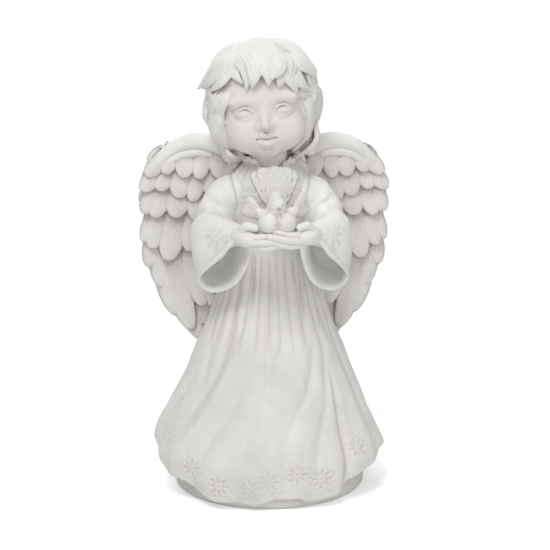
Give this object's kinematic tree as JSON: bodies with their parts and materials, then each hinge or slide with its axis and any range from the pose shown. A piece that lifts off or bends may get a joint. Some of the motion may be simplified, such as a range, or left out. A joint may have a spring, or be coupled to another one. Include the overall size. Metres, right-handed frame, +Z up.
{
  "type": "angel figurine",
  "caption": "White matt resin figurine of a small winged angel in a long flared robe, cupping a dove in both hands, with separately cast head, sleeves and feathered wings.",
  "frame": {"origin": "on the table, under the middle of the figurine's bounding box", "axes": "+Z up, the figure faces -Y, the angel's own left hand is towards +X"},
  "size_m": [0.1396, 0.1065, 0.2399],
  "materials": {
    "white_resin": "matt white with a faint brown wash in the deep lines",
    "plug_resin": "unpainted matt casting",
    "pin_steel": "drawn wire",
    "felt": "pressed felt"
  },
  "bodies": {
    "root": {"robe_body": "white_resin", "head": "white_resin", "sleeve_right": "white_resin", "sleeve_left": "white_resin", "hands": "white_resin", "dove": "white_resin", "wing_right": "white_resin", "wing_left": "white_resin", "wing_pins_right": "pin_steel", "wing_pins_left": "pin_steel", "base_plug": "plug_resin", "felt_pad": "felt"}
  },
  "joints": []
}
